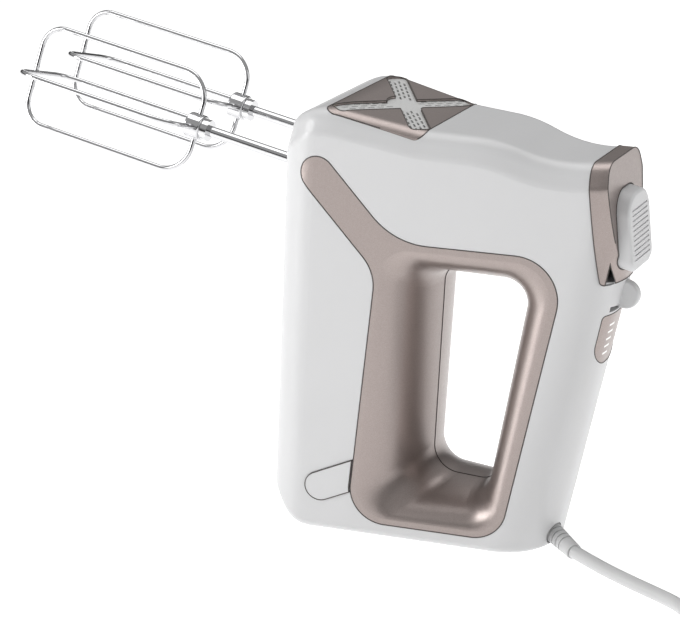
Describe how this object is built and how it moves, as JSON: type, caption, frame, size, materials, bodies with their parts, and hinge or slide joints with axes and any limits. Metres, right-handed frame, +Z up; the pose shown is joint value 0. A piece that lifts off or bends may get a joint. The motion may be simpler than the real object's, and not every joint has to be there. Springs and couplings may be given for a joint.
{
  "type": "hand mixer",
  "caption": "Upright-standing electric hand mixer with a looped grip, two wire beaters, nose vent, eject button, speed lever and cord with plug.",
  "frame": {"origin": "on the flat heel that the mixer stands on, below the body's middle plane", "axes": "+Z up with the mixer standing on its heel (towards its nose); +X from the beater side to the hand grip; the mixer's left half at -Y"},
  "size_m": [0.3927, 0.136, 0.1991],
  "materials": {
    "white_body": "satin gloss, fine moulded skin",
    "bronze_trim": "satin metallic champagne bronze lacquer on plastic",
    "grille_silver": "satin silver lacquer on plastic",
    "black_plastic": "matt black",
    "board_green": "lacquered laminate",
    "steel": "turned or drawn steel",
    "nylon": "natural nylon, moulded",
    "zinc_can": "zinc-plated pressed steel",
    "ferrite": "sintered ferrite",
    "brass": "drawn brass",
    "carbon": "pressed carbon",
    "cord_grey": "soft PVC sheath",
    "laminated_steel": "stacked laminations",
    "copper": null,
    "chrome": "bright plated wire and rod",
    "white_button": "fine matt"
  },
  "bodies": {
    "housing": {"left_housing": "white_body", "right_housing": "white_body", "left_grip_trim": "bronze_trim", "right_grip_trim": "bronze_trim", "vent_bezel": "bronze_trim", "vent_grille": "grille_silver", "control_bezel": "bronze_trim", "speed_scale_plate": "bronze_trim", "left_service_cover": "white_body", "right_service_cover": "white_body", "speed_switch": "black_plastic", "circuit_board": "board_green", "housing_screws": "steel", "gearbox_frame": "nylon", "motor_can": "zinc_can", "motor_end_bell": "black_plastic", "motor_magnets": "ferrite", "motor_bearings": "brass", "brush_holders": "brass", "carbon_brushes": "carbon", "internal_wires": "black_plastic", "eject_spring": "steel", "strain_relief": "cord_grey", "cord_tail": "cord_grey", "cord_clamp": "black_plastic", "power_cord": "cord_grey", "cord_coil": "cord_grey", "cord_tie": "black_plastic", "plug_body": "cord_grey", "plug_pins": "brass"},
    "rotor": {"rotor_shaft": "steel", "armature_core": "laminated_steel", "armature_windings": "copper", "commutator": "copper", "worm": "steel", "cooling_fan": "black_plastic"},
    "left_spindle": {"left_spindle": "steel", "left_worm_wheel": "nylon"},
    "right_spindle": {"right_spindle": "steel", "right_worm_wheel": "nylon"},
    "left_beater": {"left_beater_shaft": "chrome", "left_beater_collar": "chrome", "left_beater_wires": "chrome"},
    "right_beater": {"right_beater_shaft": "chrome", "right_beater_collar": "chrome", "right_beater_wires": "chrome"},
    "eject": {"eject_button": "white_button", "eject_plunger": "nylon"},
    "selector": {"speed_lever": "white_button"}
  },
  "joints": [
    {"name": "rotor_spin", "type": "hinge", "parent": "housing", "child": "rotor", "pos_m": [-0.031, 0, 0.08], "axis": [0, 0, 1], "continuous": true},
    {"name": "left_spindle_spin", "type": "hinge", "parent": "housing", "child": "left_spindle", "pos_m": [-0.104, -0.0185, 0.1645], "axis": [-0.9839, 0, 0.1788], "continuous": true},
    {"name": "right_spindle_spin", "type": "hinge", "parent": "housing", "child": "right_spindle", "pos_m": [-0.104, 0.0185, 0.1645], "axis": [-0.9839, 0, 0.1788], "continuous": true},
    {"name": "left_beater_release", "type": "slide", "parent": "left_spindle", "child": "left_beater", "axis": [-0.9839, 0, 0.1788], "range_m": [0, 0.005]},
    {"name": "right_beater_release", "type": "slide", "parent": "right_spindle", "child": "right_beater", "axis": [-0.9839, 0, 0.1788], "range_m": [0, 0.005]},
    {"name": "eject_press", "type": "slide", "parent": "housing", "child": "eject", "axis": [-0.9839, 0, 0.1788], "range_m": [0, 0.005], "stiffness_N_per_m": 900, "springref_m": -0.004, "deforming": ["eject_spring"]},
    {"name": "speed_select", "type": "hinge", "parent": "housing", "child": "selector", "pos_m": [0.0624, 0, 0.1196], "axis": [0.2074, 0, 0.9783], "range_deg": [-18, 18]}
  ],
  "couplings": [
    {"joint": "left_spindle_spin", "follows": "rotor_spin", "ratio": 0.071429},
    {"joint": "right_spindle_spin", "follows": "rotor_spin", "ratio": -0.071429},
    {"joint": "left_beater_release", "follows": "eject_press", "ratio": 1},
    {"joint": "right_beater_release", "follows": "eject_press", "ratio": 1}
  ]
}
